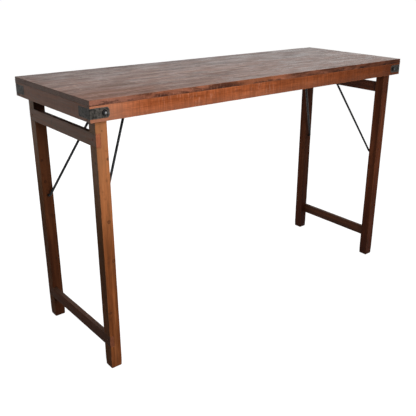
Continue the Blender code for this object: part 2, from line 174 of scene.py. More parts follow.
# Depths of relief and scales of pattern in the materials
GRAIN_DEPTH = 0.0006
END_GRAIN_DEPTH = 0.0005
KNOTS_PER_METRE = 20.0
RUB_REACH = 0.003
SEED_STEP = 1.7

# Lighter and darker pieces: partly their own tone; the right-hand legs, rails, straps and rods are darker partly
# as painted shade of light falling off to the right
PLANK_TONE = (1.00, 0.92, 1.06, 0.96, 0.90)
LEG_TONE_AND_SHADE = {"front_left": 1.08, "rear_left": 1.02, "front_right": 0.60, "rear_right": 0.57}
# How much paler each leg is towards the top: partly fading, partly painted light.
LEG_PALE_AND_LIT = {"front_left": 0.9, "rear_left": 0.7, "front_right": 0.1, "rear_right": 0.2}
RAIL_TONE_AND_SHADE = {"left_rail": 1.08, "left_stretcher": 0.80, "right_rail": 0.50, "right_stretcher": 0.48}
RAIL_PALE = {"right_stretcher": 0.7}
BATTEN_TONE = 0.7
PEG_TONE = 0.4
# The front-left bolt keeps its bright crown, the others are darkened: partly their own tone, partly painted shade.
BOLT_TONE_AND_SHADE = {"front_left": 1.0, "rear_left": 0.4, "front_right": 0.4, "rear_right": 0.4}
RING_TONE = 0.7
NUT_TONE = 0.8
STRAP_TONE_AND_SHADE = {"left": 1.0, "right": 0.85}
BRACE_TONE_AND_SHADE = {"left": 0.8, "right": 0.45}

# Studio: panel lamps as (name, place, target, size, watts, seen in reflections), a wide overhead light,
# the light from all round, and the floor
LAMPS = (
    ("key", (-0.60, -1.70, 1.45), (-0.50, 0.00, 0.72), (1.0, 0.8), 35.0, False),
    ("accent", (0.90, -2.60, 1.02), (-0.60, -0.30, 1.00), (0.4, 0.4), 7.0, True),
    ("rear", (0.20, 3.20, 1.55), (0.00, 0.00, 0.70), (2.6, 1.6), 85.0, False),
    ("right", (3.40, -0.30, 2.00), (0.00, 0.00, 0.70), (2.4, 2.0), 70.0, False),
)
OVERHEAD_FROM = (0.0, 0.1, 1.0)
OVERHEAD_SPREAD_DEG = 70.0
OVERHEAD_LIGHT = 0.9
WORLD_COLOUR = (1.0, 0.98, 0.96)
WORLD_LIGHT = 0.11
FLOOR_HALF = 30.0
FLOOR_BOUNCE = 0.06
FLOOR_SHADOW = 0.14
FLOOR_WHITE = 0.955


# Shader nodes


class Nodes:
    """A node tree, with short calls that add nodes to it."""

    def __init__(self, tree):
        self.tree = tree

    def node(self, kind, values=None, **settings):
        node = self.tree.nodes.new("ShaderNode" + kind)
        for name, value in settings.items():
            setattr(node, name, value)
        for name, value in (values or {}).items():
            self.feed(node.inputs[name], value)
        return node

    def feed(self, socket, value):
        """Links a socket to an output, or sets it. Colours are given without alpha."""
        if isinstance(value, bpy.types.NodeSocket):
            self.tree.links.new(value, socket)
        elif socket.type == "RGBA":
            socket.default_value = (*value, 1.0)
        else:
            socket.default_value = value

    def math(self, operation, a, b=0.0):
        return self.node("Math", {0: a, 1: b}, operation=operation).outputs[0]

    times = partialmethod(math, "MULTIPLY")
    plus = partialmethod(math, "ADD")
    less = partialmethod(math, "SUBTRACT")

    def white_behind(self, lit, white, end):
        """Shows the white to the camera, mirrors and glass, and the lit shader to other rays."""
        rays = self.node("LightPath").outputs
        seen = self.math("MAXIMUM", rays["Is Camera Ray"], rays["Is Glossy Ray"])
        seen = self.math("MAXIMUM", seen, rays["Is Transmission Ray"])
        mix = self.node("MixShader", {0: seen, 1: lit.outputs[0], 2: white.outputs[0]})
        surface = self.tree.nodes[end].inputs["Surface"]
        self.tree.nodes.remove(surface.links[0].from_node)
        self.feed(surface, mix.outputs[0])


class Shader(Nodes):
    """A material's node tree, with a short call for each kind of pattern used here."""

    def __init__(self, name):
        self.material = bpy.data.materials.new(name)
        self.material.use_nodes = True
        super().__init__(self.material.node_tree)
        self.place = self.node("TexCoord").outputs["Object"]
        self.axes = self.node("SeparateXYZ", {0: self.place}).outputs
        self.seed = self.own("seed")
        self.edge = self.own("edge", "GEOMETRY")

    def own(self, name, kind="OBJECT"):
        """A number that each object carries for itself, or that is painted on its mesh's points."""
        return self.node("Attribute", attribute_type=kind, attribute_name=name).outputs["Fac"]

    def paint(self, where, colour, amount=1.0, blend="MIX"):
        """Lays a colour over the one so far, as thickly as where says, times an amount."""
        where = where if amount == 1.0 else self.times(where, amount)
        values = {0: where, 6: self.colour, 7: colour}
        self.colour = self.node("Mix", values, data_type="RGBA", blend_type=blend).outputs[2]

    def shade(self, factor):
        """Makes the colour so far lighter or darker."""
        self.colour = self.node("HueSaturation", {"Value": factor, "Color": self.colour}).outputs[0]

    def span(self, value, low, high, start=0.0, end=1.0):
        """Goes smoothly from start to end while value goes from low to high."""
        ends = {"From Min": low, "From Max": high, "To Min": start, "To Max": end}
        return self.node("MapRange", {"Value": value, **ends}, interpolation_type="SMOOTHSTEP").outputs[0]

    def noise(self, scale, detail=4.0, rough=0.55, warp=0.0, shift=0.0):
        """Noise with a frequency along each axis, different for each object."""
        place = self.node("VectorMath", {0: self.place, 1: scale}, operation="MULTIPLY").outputs[0]
        values = {"Vector": place, "W": self.plus(self.seed, shift), "Scale": 1.0}
        values |= {"Detail": detail, "Roughness": rough, "Distortion": warp}
        return self.node("TexNoise", values, noise_dimensions="4D").outputs[0]

    def ramp(self, value, stops):
        node = self.node("ValToRGB", {0: value})
        elements = node.color_ramp.elements
        while len(elements) < len(stops):
            elements.new(0.5)
        for element, (position, colour) in zip(elements, stops):
            element.position = position
            element.color = (*colour, 1.0)
        return node.outputs[0]

    def finish(self, rough, height, gloss, depth=GRAIN_DEPTH, metal=0.0):
        """The material: the colour so far in the piece's own tone, with a roughness and a relief."""
        bump = self.node("Bump", {"Height": height, "Strength": 1.0, "Distance": depth})
        self.shade(self.own("tone"))
        parts = {"Base Color": self.colour, "Roughness": rough, "Metallic": metal}
        parts |= {"Normal": bump.outputs["Normal"], "Specular IOR Level": gloss}
        for name, value in parts.items():
            self.feed(self.tree.nodes["Principled BSDF"].inputs[name], value)
        return self.material


# Wood


def stretched(grain, along, across):
    """Frequencies per metre for a pattern drawn out along the grain."""
    return tuple(along if axis == grain else across for axis in "XYZ")


def grained(s, grain, dark, mid, light):
    """Paints planed wood with streaks, fibres and pores along the grain. Gives its relief and fibres."""
    streaks = s.noise(stretched(grain, 1.6, 34), detail=6, rough=0.6, warp=0.35)
    patches = s.noise(stretched(grain, 3.5, 11), detail=3, shift=3.1)
    fibres = s.noise(stretched(grain, 16, 420), rough=0.62, shift=5.7)
    pores = s.noise(stretched(grain, 55, 1500), detail=2, shift=8.3)
    blend = s.plus(s.times(streaks, 0.62), s.times(patches, 0.38))
    s.colour = s.ramp(blend, ((0.34, dark), (0.5, mid), (0.66, light)))
    shade = s.times(s.span(fibres, 0.3, 0.7, 0.74, 1.22), s.span(pores, 0.62, 0.72, 1.0, 0.58))
    s.shade(shade)
    return s.times(shade, 0.5), fibres


def edge_wear(s, colour, reach, amount):
    """Rubs the piece's edges towards a colour."""
    ragged = s.noise((60, 60, 60), detail=3, shift=12)
    share = s.math("DIVIDE", s.edge, s.times(ragged, reach))
    s.paint(s.span(share, 0.3, 1.4, amount, 0.0), colour)


def top_face_wood():
    """The planks' upper faces: grey-brown, waxed, blotched, with saw marks and dark dents."""
    s = Shader("top_face_wood")
    height, fibres = grained(s, "X", (0.115, 0.066, 0.05), (0.205, 0.128, 0.103), (0.3, 0.2, 0.168))
    from_left, from_right = s.less(s.axes[0], TOP_LOW.x), s.less(TOP_HIGH.x, s.axes[0])
    from_front, from_rear = s.less(s.axes[1], TOP_LOW.y), s.less(TOP_HIGH.y, s.axes[1])
    corner = s.times(s.span(from_left, 0.0, 0.7, 1.0, 0.0), s.span(from_front, 0.0, 0.3, 1.0, 0.0))
    warm = s.math("MAXIMUM", corner, s.span(from_left, 0.0, 0.16, 0.5, 0.0))
    s.paint(warm, (0.26, 0.12, 0.08), 0.5)
    brown = s.noise((7, 22, 22), rough=0.6, warp=0.4, shift=24)
    s.paint(s.span(brown, 0.44, 0.6, 0.0, 0.55), (0.215, 0.108, 0.074))
    # Greyer towards the right end and the rear edge: partly faded wood, partly a painted sheen.
    faded_and_sheen = s.plus(s.span(from_left, 0.2, 1.6, 0.08, 0.32), s.span(from_rear, 0.0, 0.45, 0.26, 0.0))
    s.paint(faded_and_sheen, (0.19, 0.172, 0.17))
    stained = s.times(s.span(from_rear, 0.01, 0.08, 1.0, 0.0), s.span(from_left, 0.2, 1.2, 1.0, 0.2))
    s.paint(stained, (0.1, 0.06, 0.048), 0.55)
    s.shade(s.span(from_left, 0.0, 1.2, 0.86, 1.06))
    bands = s.noise((6, 40, 40), detail=8, rough=0.8, warp=0.3, shift=27)
    s.shade(s.span(bands, 0.42, 0.58, 0.72, 1.2))
    sawn = s.noise((75, 16, 16), detail=5, rough=0.7, shift=20)
    sawn_here = s.noise((6, 26, 26), detail=3, shift=22)
    marks = s.times(s.span(sawn, 0.5, 0.6), s.span(sawn_here, 0.44, 0.56))
    s.paint(marks, (0.36, 0.25, 0.21), 0.4)
    dent = s.span(s.noise((60, 100, 100), detail=1, shift=25), 0.68, 0.76)
    s.paint(dent, (0.022, 0.011, 0.008), 0.8)
    edge_wear(s, (0.28, 0.17, 0.13), 0.01, 0.35)
    to_end, to_side = s.math("MINIMUM", from_left, from_right), s.math("MINIMUM", from_front, from_rear)
    inside_rim = s.span(s.math("MINIMUM", to_end, to_side), 0.008, 0.014)
    seam = s.times(s.span(s.edge, 0.0006, 0.0022, 0.75, 0.0), inside_rim)
    s.paint(seam, (0.03, 0.017, 0.012))
    waxed = s.noise((7, 26, 26), detail=9, rough=0.82, shift=29)
    dry = s.plus(s.span(waxed, 0.4, 0.6, 0.3, 0.0), s.span(warm, 0.0, 1.0, 0.0, 0.26))
    smooth = s.span(from_left, 0.5, 1.7, 0.0, -0.07)
    rough = s.plus(s.span(fibres, 0.3, 0.7, 0.28, 0.36), s.plus(dry, smooth))
    relief = s.less(s.plus(height, s.times(marks, 0.25)), dent)
    return s.finish(rough, relief, 0.13)


def along_top(s, start, end, amount=1.0):
    """Rises from 0 to an amount between two shares of the top's length, from the left."""
    places = [TOP_LOW.x + (TOP_HIGH.x - TOP_LOW.x) * share for share in (start, end)]
    return s.span(s.axes[0], *places, 0.0, amount)


def plank_edge_wood():
    """The planks' long edges: dark and orange-brown patches, with a ragged black stain below."""
    s = Shader("plank_edge_wood")
    height, fibres = grained(s, "X", (0.06, 0.019, 0.01), (0.13, 0.045, 0.025), (0.25, 0.095, 0.055))
    patches = s.noise((9, 9, 40), detail=6, rough=0.65, warp=0.6, shift=37)
    s.shade(s.span(patches, 0.38, 0.62, 0.45, 1.45))
    s.paint(along_top(s, 0.14, 0.05, 0.6), (0.23, 0.1, 0.068))
    orange = s.times(along_top(s, 0.34, 0.42), along_top(s, 0.56, 0.48))
    s.paint(orange, (0.26, 0.085, 0.036), 0.5)
    # Darker towards the right end: partly the wood's own colour, partly painted shade of light falling off to the
    # right.
    s.paint(along_top(s, 0.52, 0.95, 0.36), (0.07, 0.02, 0.008))
    ragged = s.noise((26, 26, 90), detail=6, rough=0.7, shift=31)
    wide = s.noise((6, 6, 6), detail=2, shift=33)
    reach = s.times(s.span(ragged, 0.38, 0.68, 0.0, 0.014), s.span(wide, 0.4, 0.6, 0.3, 1.4))
    above = s.less(s.axes[2], TOP_LOW.z)
    stain = s.span(s.less(above, reach), -0.005, 0.003, 0.7, 0.0)
    s.paint(stain, (0.03, 0.013, 0.01))
    flecks = s.noise((130, 130, 60), rough=0.7, shift=35)
    flecked = s.times(s.span(flecks, 0.54, 0.66), along_top(s, 0.9, 0.5, 0.4))
    s.paint(flecked, (0.3, 0.15, 0.105))
    return s.finish(s.span(fibres, 0.3, 0.7, 0.46, 0.62), height, 0.03)


def sawn_wood(s, grain, tones, dark, pale, marked):
    """Paints a sawn face with dark and pale upright marks. Gives its relief and roughness."""
    height, fibres = grained(s, grain, *tones)
    upright = s.noise((130, 130, 8), detail=5, rough=0.7, warp=0.2, shift=41)
    s.shade(s.span(upright, 0.38, 0.62, 1.0 - 0.22 * marked, 1.0 + 0.16 * marked))
    scored = s.noise((170, 170, 14), rough=0.65, warp=0.3, shift=43)
    s.paint(s.span(scored, 0.58, 0.72, 0.0, 0.38 * marked), dark)
    rubbed = s.noise((240, 240, 16), rough=0.65, shift=47)
    rubbed_here = s.noise((14, 14, 30), shift=49)
    marks = s.times(s.span(rubbed, 0.54, 0.68), s.span(rubbed_here, 0.44, 0.58))
    s.paint(marks, pale, 0.55 * marked)
    grime = s.noise((14, 14, 50), detail=6, rough=0.7, shift=45)
    s.paint(s.span(grime, 0.54, 0.72, 0.0, 0.5), dark)
    return s.plus(height, s.times(upright, 0.5)), s.span(fibres, 0.3, 0.7, 0.48, 0.64)


def long_apron_wood():
    """The long aprons: orange-brown, dusty at the left end, darker towards the right end: partly the board's own
    colour, partly painted shade.
    """
    s = Shader("long_apron_wood")
    dark = (0.082, 0.016, 0.005)
    tones = ((0.168, 0.042, 0.0135), (0.258, 0.069, 0.023), (0.35, 0.105, 0.04))
    relief, rough = sawn_wood(s, "X", tones, dark, (0.43, 0.22, 0.15), 1.0)
    s.paint(along_top(s, 0.14, 0.02, 0.5), (0.34, 0.165, 0.104))
    low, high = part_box("front_apron")
    s.paint(s.span(s.axes[2], low.z, (low.z + 2 * high.z) / 3, 0.4, 0.0), (0.155, 0.072, 0.048))
    # Darker towards the right end: partly the board's own colour, partly painted shade of light falling off to the
    # right.
    s.paint(along_top(s, 0.25, 0.95, 0.3), dark)
    s.shade(s.less(1.0, along_top(s, 0.38, 0.54, 0.13)))
    s.paint(along_top(s, 0.88, 0.97, 0.3), (0.045, 0.013, 0.008))
    edge_wear(s, (0.3, 0.105, 0.048), 0.005, 0.3)
    return s.finish(rough, relief, 0.03)


def end_apron_wood():
    """The end aprons and battens: grey-brown."""
    s = Shader("end_apron_wood")
    tones = ((0.1, 0.041, 0.023), (0.19, 0.083, 0.046), (0.265, 0.13, 0.08))
    relief, rough = sawn_wood(s, "Y", tones, (0.07, 0.028, 0.016), (0.3, 0.17, 0.12), 0.25)
    return s.finish(rough, relief, 0.25)


def turned_to(s, index, start, end):
    """Rises from 0 to 1 as a face turns to an axis: away from the table's middle or, below 0, towards it."""
    normal = s.node("SeparateXYZ", {0: s.node("TexCoord").outputs["Normal"]}).outputs[index]
    outward = s.times(normal, s.math("SIGN", s.axes[index]))
    return s.span(outward, start, end)


def knotted(s):
    """Paints small round knots: dark, with a darker rim."""
    place = s.node("VectorMath", {0: s.place, 1: s.seed}, operation="ADD").outputs[0]
    away = s.node("TexVoronoi", {"Vector": place, "Scale": KNOTS_PER_METRE}).outputs["Distance"]
    uneven = s.noise((90, 90, 60), detail=2, shift=55)
    wavy = s.plus(away, s.span(uneven, 0.2, 0.8, -0.03, 0.03))
    rim = s.times(s.span(wavy, 0.07, 0.11), s.span(wavy, 0.11, 0.17, 1.0, 0.0))
    s.paint(s.span(wavy, 0.09, 0.15, 0.45, 0.0), (0.075, 0.026, 0.012))
    s.paint(rim, (0.02, 0.008, 0.005), 0.55)


def frame_wood(name, grain, gloss):
    """Legs and rails: red-brown, paler towards the top partly as painted light, darker near the floor partly as
    painted shade, waxed on the table's ends; painted shade darkens the faces turned up and those turned inward,
    and a painted sheen greys the ends.
    """
    s = Shader(name)
    height, fibres = grained(s, grain, (0.08, 0.022, 0.007), (0.18, 0.055, 0.016), (0.3, 0.108, 0.038))
    figure = s.noise(stretched(grain, 2.6, 48), detail=6, rough=0.66, warp=0.4, shift=57)
    s.shade(s.span(figure, 0.38, 0.62, 0.7, 1.24))
    above, tall = s.axes[2], CAD_BOX[1].z
    upper = s.span(above, tall * 0.35, tall * 0.95)
    pale = s.own("pale")
    # Paler towards the top: partly faded wood, partly painted light falling stronger on the upper legs.
    s.paint(s.times(upper, pale), (0.39, 0.175, 0.074), 0.5)
    reddish = s.less(1.0, pale)
    s.paint(reddish, (0.97, 0.8, 0.98), blend="MULTIPLY")
    # Darker towards the floor: partly grime, partly painted shade.
    lower = s.span(above, 0.0, tall * 0.45, 1.0, 0.0)
    s.paint(s.times(lower, reddish), (0.5, 0.51, 0.66), blend="MULTIPLY")
    s.paint(s.span(above, 0.0, tall * 0.12, 0.12, 0.0), (0.05, 0.016, 0.009))
    grime = s.noise((24, 24, 24), detail=5, rough=0.65, shift=52)
    s.paint(s.span(grime, 0.55, 0.72, 0.0, 0.5), (0.045, 0.015, 0.007))
    knotted(s)
    edge_wear(s, (0.3, 0.12, 0.05), 0.004, 0.35)
    # Faces turned up are darkened and greyed: painted shade of the top above them, with dust.
    s.paint(turned_to(s, 2, 0.5, 0.9), (0.05, 0.032, 0.021), 0.65)
    # Faces turned in towards the middle get painted shade, deepest just under the top.
    shade_under_top = s.span(above, tall * 0.84, tall * 0.9, 0.68, 0.97)
    s.paint(s.times(turned_to(s, 1, -0.3, -0.9), shade_under_top), (0.028, 0.009, 0.005))
    # Inner faces across the table get painted shade too.
    s.paint(turned_to(s, 0, -0.3, -0.9), (0.028, 0.014, 0.011), 0.3)
    outer = turned_to(s, 0, 0.3, 0.9)
    # On the faces at the table's ends, a painted sheen greys the upper part and painted shade darkens the lower
    # part.
    grey = s.ramp(upper, ((0.0, (0.04, 0.022, 0.01)), (1.0, (0.1, 0.075, 0.03))))
    s.paint(s.times(outer, s.span(upper, 0.0, 1.0, 0.54, 0.45)), grey)
    waxed = s.times(outer, s.span(upper, 0.0, 1.0, 0.24, -0.13))
    rough = s.plus(s.span(fibres, 0.3, 0.7, 0.52, 0.68), waxed)
    return s.finish(rough, height, gloss)


def end_grain_wood(name, across, dark, light, gloss):
    """Sawn ends with growth rings and short open cracks."""
    s = Shader(name)
    shape = {"Vector": s.place, "Scale": 60.0, "Distortion": 5.0, "Detail": 3.0, "Detail Scale": 2.0}
    rings = s.node("TexWave", shape, wave_type="RINGS", rings_direction=across).outputs[1]
    speckle = s.noise((900, 900, 900), detail=2, shift=61)
    stain = s.noise((90, 90, 90), shift=63)
    s.colour = s.ramp(rings, ((0.1, dark), (0.9, light)))
    s.paint(s.span(speckle, 0.55, 0.68, 0.0, 0.5), [0.4 * v for v in dark])
    s.paint(s.span(stain, 0.5, 0.68, 0.0, 0.6), dark)
    rough = s.span(speckle, 0.3, 0.7, 0.6, 0.75)
    return s.finish(rough, s.less(rings, speckle), gloss, END_GRAIN_DEPTH)


# Iron


def iron(name, dark, light, rough, rubbed, brighter, depth, gloss, metal):
    """Blackened iron: mottled scale, rubbed bright near the painted edges or crowns; on the bolts' crowns the
    bright patch is partly a painted highlight.
    """
    s = Shader(f"{name}_iron")
    mottle = s.noise((110, 110, 110), detail=6, rough=0.68, shift=71)
    pits = s.noise((520, 520, 520), detail=3, shift=73)
    s.colour = s.ramp(mottle, ((0.38, dark), (0.64, light)))
    s.paint(s.span(pits, 0.58, 0.7, 0.0, 0.6), (0.012, 0.011, 0.01))
    # Rubs the edges bright, and on the bolts' crowns also paints a highlight.
    edge_wear(s, [brighter * v for v in light], RUB_REACH, rubbed)
    rust = s.noise((60, 60, 60), shift=75)
    s.paint(s.span(rust, 0.6, 0.75, 0.0, 0.35), (0.07, 0.036, 0.02))
    rough_here = s.span(mottle, 0.35, 0.65, rough + 0.1, rough - 0.08)
    return s.finish(rough_here, s.less(mottle, s.times(pits, 0.4)), gloss, depth, metal)


FINISH = {
    "top_face": top_face_wood(),
    "plank_edge": plank_edge_wood(),
    "plank_end": end_grain_wood("plank_end_grain", "X", (0.11, 0.066, 0.05), (0.2, 0.13, 0.102), 0.3),
    "long_apron": long_apron_wood(),
    "end_apron": end_apron_wood(),
    "leg": frame_wood("leg_wood", "Z", 0.05),
    "leg_outer": frame_wood("leg_outer_wood", "Z", 0.1),
    "rail": frame_wood("rail_wood", "Y", 0.14),
    "stretcher": frame_wood("stretcher_wood", "Y", 0.12),
    # The right rails' ends are a darker copy of the left rails' ends: painted shade.
    "left_end": end_grain_wood("left_rail_end", "Y", (0.175, 0.052, 0.024), (0.33, 0.112, 0.054), 0.04),
    "right_end": end_grain_wood("right_rail_end_shaded", "Y", (0.09, 0.026, 0.013), (0.18, 0.054, 0.028), 0.04),
    "end_x": end_grain_wood("end_grain_along", "X", (0.09, 0.032, 0.014), (0.2, 0.08, 0.036), 0.12),
    "end_y": end_grain_wood("end_grain_across", "Y", (0.22, 0.078, 0.036), (0.4, 0.15, 0.072), 0.04),
    "strap": iron("strap", (0.01, 0.01, 0.009), (0.072, 0.064, 0.056), 0.54, 0.5, 2.2, 0.0009, 0.12, 0.2),
    # The bolts' brightness of 11 makes their crowns bright: partly worn metal, partly a painted highlight.
    "bolt": iron("bolt", (0.005, 0.005, 0.005), (0.018, 0.018, 0.018), 0.28, 0.95, 11.0, 0.0003, 0.5, 0.85),
    "rod": iron("rod", (0.008, 0.009, 0.01), (0.04, 0.043, 0.047), 0.4, 0.0, 1.0, 0.0002, 0.14, 0.25),
}


# Meshes


def lines(low, high, step):
    """Grid lines between two faces: close together near both, then about a step apart."""
    near = [d for d in EDGE_LINES if d < EDGE_LINES_SHARE * (high - low)]
    count = max(2, round((high - low - 2 * near[-1]) / step))
    middle = np.linspace(low + near[-1], high - near[-1], count + 1)[1:-1]
    return np.concatenate([[low + d for d in near], middle, [high - d for d in reversed(near)]])


def box_lines(low, high, along):
    """Grid lines of a box on all three axes, with long steps along one of them."""
    return [lines(low[i], high[i], LONG_STEP if i == along else SIDE_STEP) for i in range(3)]


def block(grid, solid=None):
    """The skin of a block of cells: its points, its quads, and the axis that each quad faces."""
    cells = np.ones([len(g) - 1 for g in grid], bool) if solid is None else solid
    around = np.pad(cells, 1)
    inside = (slice(1, -1),) * 3
    size = [len(g) for g in grid]
    quads, facing = [], []
    for axis in range(3):
        for side in (0, 1):
            neighbour = np.roll(around, 1 - 2 * side, axis)[inside]
            corner = np.argwhere(cells & ~neighbour)
            corner[:, axis] += side
            u, v = np.eye(3, dtype=int)[[(axis + 1) % 3, (axis + 2) % 3]]
            loop = [corner, corner + u, corner + u + v, corner + v]
            loop = loop if side else loop[::-1]
            quads.append(np.stack([np.ravel_multi_index(c.T, size) for c in loop], 1))
            facing.append(np.full(len(corner), axis))
    used, quads = np.unique(np.concatenate(quads), return_inverse=True)
    i, j, k = np.unravel_index(used, size)
    points = np.stack([grid[0][i], grid[1][j], grid[2][k]], 1)
    return points, quads.reshape(-1, 4), np.concatenate(facing)


def field(points, frequency, seed):
    """Noise from -1 to 1 at each point."""
    shift = Vector((seed, -seed, 0.5 * seed))
    scaled = points * np.array(frequency)
    return np.array([noise.noise(Vector(p) + shift) for p in scaled])


def patchy(points, patches, seed):
    """Wear from 0 to 1 at each point, in broad patches with small ones among them."""
    broad, small, share = patches
    return np.clip(field(points, (broad,) * 3, seed) + share * field(points, (small,) * 3, seed), 0, 1)


def to_edge(points, low, high):
    """Distance from each point of a block's skin to the nearest edge of the block."""
    to_faces = np.minimum(points - np.array(low), np.array(high) - points)
    return np.sort(to_faces, axis=1)[:, 1]


def worn(points, low, high, radius, dents, seed, cup_depth=0.0):
    """A block's points with rounded edges and dents, and a top hollowed across to a cup."""
    radius = radius[:, None]
    core = np.clip(points, np.array(low) + radius, np.array(high) - radius)
    out = points - core
    length = np.linalg.norm(out, axis=1, keepdims=True)
    out = np.divide(out, length, out=np.zeros_like(out), where=length > TINY)
    points = np.where(length > TINY, core + out * radius, points)
    frequency, above, own_seed = dents
    dent = DENT_DEPTH * np.clip(field(points, frequency, seed + own_seed) - above, 0, 1)
    across = (points[:, 1] - (low.y + high.y) / 2) / (high.y - low.y)
    cup = cup_depth * (1.0 - 4.0 * across**2) * (out[:, 2] > FACES_UP)
    return points - out * (dent + cup)[:, None]


def paint_edge(mesh, values):
    """Paints each point's distance to the nearest worn edge on a mesh."""
    if "edge" not in mesh.attributes:
        mesh.attributes.new("edge", "FLOAT", "POINT")
    mesh.attributes["edge"].data.foreach_set("value", np.asarray(values, np.float32))


def to_mesh(name, points, faces, edge=None, slots=None):
    mesh = bpy.data.meshes.new(name)
    mesh.from_pydata(points.tolist(), [], [list(f) for f in faces])
    if slots is not None:
        mesh.polygons.foreach_set("material_index", np.asarray(slots, np.int32))
    if edge is not None:
        paint_edge(mesh, edge)
    mesh.shade_smooth()
    mesh.set_sharp_from_angle(angle=SHARP)
    return mesh


def cleaned(mesh):
    """Joins points that coincide, turns faces outward, and paints a mesh as unworn if it has no paint."""
    bm = bmesh.new()
    bm.from_mesh(mesh)
    bmesh.ops.remove_doubles(bm, verts=bm.verts, dist=MERGE)
    bmesh.ops.dissolve_degenerate(bm, edges=bm.edges, dist=TINY)
    bmesh.ops.recalc_face_normals(bm, faces=bm.faces)
    bm.to_mesh(mesh)
    bm.free()
    if "edge" not in mesh.attributes:
        paint_edge(mesh, np.full(len(mesh.vertices), FAR_FROM_EDGE))
    mesh.set_sharp_from_angle(angle=SHARP)
    return mesh


def between_rows(rows, count, spans):
    """Quads between pairs of rows of points. A row with as many spans as points is closed."""
    return [
        (a * count + k, a * count + (k + 1) % count, b * count + (k + 1) % count, b * count + k)
        for a, b in rows
        for k in range(spans)
    ]


def turned(name, profile_at, origin, axis, steps, closed=False, up=(0, 0, 1)):
    """A mesh turned about an axis. The profile gives (radius, place on the axis) points at an angle."""
    axis, u = Vector(axis), Vector(up)
    v = axis.cross(u)
    points = []
    for i in range(steps):
        angle = tau * i / steps
        arm = u * cos(angle) + v * sin(angle)
        points += [origin + arm * radius + axis * along for radius, along in profile_at(angle)]
    count = len(profile_at(0.0))
    rows = [(i, (i + 1) % steps) for i in range(steps)]
    quads = between_rows(rows, count, count if closed else count - 1)
    return cleaned(to_mesh(name, np.array([tuple(p) for p in points]), quads))


def made(name, bm):
    """A mesh of what has been built."""
    mesh = bpy.data.meshes.new(name)
    bm.to_mesh(mesh)
    bm.free()
    return mesh


def axis_rod(low, high, axis, radius):
    """A plain round bar between two faces, as a cutter."""
    turn = Vector((0, 0, 1)).rotation_difference(Vector(np.eye(3)[axis])).to_matrix().to_4x4()
    turn.translation = (Vector(low) + Vector(high)) / 2
    size = {"radius1": radius, "radius2": radius, "depth": high[axis] - low[axis]}
    bm = bmesh.new()
    bmesh.ops.create_cone(bm, cap_ends=True, segments=DRILL_STEPS, matrix=turn, **size)
    return made("drill", bm)


def hole_for(node, axis, radius):
    """A drill along a pin's axis, through the whole length of its node."""
    low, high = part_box(node)
    return axis_rod(low, high, axis, radius + FIT)


def prism(outline, depth):
    """A cutter: a flat outline of points, drawn out by a vector."""
    bm = bmesh.new()
    face = bm.faces.new([bm.verts.new(p) for p in outline])
    drawn = bmesh.ops.extrude_face_region(bm, geom=[face])["geom"]
    bmesh.ops.translate(bm, vec=depth, verts=[v for v in drawn if isinstance(v, bmesh.types.BMVert)])
    bmesh.ops.recalc_face_normals(bm, faces=bm.faces)
    return made("cutter", bm)


def placed(name, data):
    """A new object in the scene."""
    piece = bpy.data.objects.new(name, data)
    bpy.context.scene.collection.objects.link(piece)
    return piece


def evaluated(holder):
    """An object's mesh as it stands after its modifiers and curves."""
    bpy.context.view_layer.update()
    return bpy.data.meshes.new_from_object(holder.evaluated_get(bpy.context.evaluated_depsgraph_get()))


def drilled(mesh, drills):
    """The mesh with holes cut by the drills."""
    holder = placed("drilled", mesh)
    cutters = [placed("drill", drill) for drill in drills]
    for cutter in cutters:
        hole = holder.modifiers.new("hole", "BOOLEAN")
        hole.operation = "DIFFERENCE"
        hole.object = cutter
    result = evaluated(holder)
    for obj in [holder] + cutters:
        bpy.data.objects.remove(obj)
    return result


FINISHED = {}


def stand_for(node, mesh, finishes, tone=1.0):
    """A finished piece in place of a node of the frame."""
    for finish in finishes:
        mesh.materials.append(FINISH[finish])
    piece = placed(f"{node}_finished", mesh)
    piece["seed"] = float(len(FINISHED)) * SEED_STEP
    piece["tone"] = tone
    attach(piece, BODY_OF[node])
    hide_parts(node)
    FINISHED[node] = piece
    return piece


# Top


def add_planks():
    for number, (low, high), tone in zip(PLANKS, PLANK_BOXES, PLANK_TONE):
        node = f"top_plank_{number}"
        points, quads, facing = block(box_lines(low, high, 0))
        edge = to_edge(points, low, high)
        to_rim = np.minimum(points - np.array(TOP_LOW), np.array(TOP_HIGH) - points)[:, :2].min(axis=1)
        rim = np.clip(1.0 - (to_rim - RIM_WIDTH) / RIM_FADE, 0.0, 1.0)
        upper = points[:, 2] > (low.z + high.z) / 2
        wear = TOP_WEAR * patchy(points, TOP_PATCHES, number)
        radius = SEAM_ROUND + rim * upper * (TOP_ROUND - SEAM_ROUND + wear)
        points = worn(points, low, high, radius, TOP_DENTS, number, CUP_DEPTH)
        mesh = to_mesh(node, points, quads, edge, np.array([2, 1, 0])[facing])
        stand_for(node, mesh, ("top_face", "plank_edge", "plank_end"), tone)


def add_board(node, along, finishes, ease, wear, cutters, tone=1.0, seam_above=False):
    """A board along an axis, worn, dented and cut. Its upper edges stay sharp under a seam."""
    low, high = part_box(node)
    points, quads, facing = block(box_lines(low, high, along))
    edge = to_edge(points, low, high)
    seed = float(len(FINISHED))
    radius = ease + wear * patchy(points, BOARD_PATCHES, seed)
    if seam_above:
        radius = np.where(points[:, 2] > (low.z + high.z) / 2, SEAM_ROUND, radius)
    points = worn(points, low, high, radius, BOARD_DENTS, seed)
    mesh = drilled(to_mesh(node, points, quads, edge, facing == along), cutters)
    return stand_for(node, mesh, finishes, tone)


def outer_face(low, high, sign):
    return high if sign > 0 else low


def strap_place(node, sx, sy):
    """A strap's outer corner at half its height, its runs along X and Y, and half its height."""
    low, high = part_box(node)
    outer = Vector((outer_face(low.x, high.x, sx), outer_face(low.y, high.y, sy), (low.z + high.z) / 2))
    return outer, high.x - low.x, high.y - low.y, (high.z - low.z) / 2


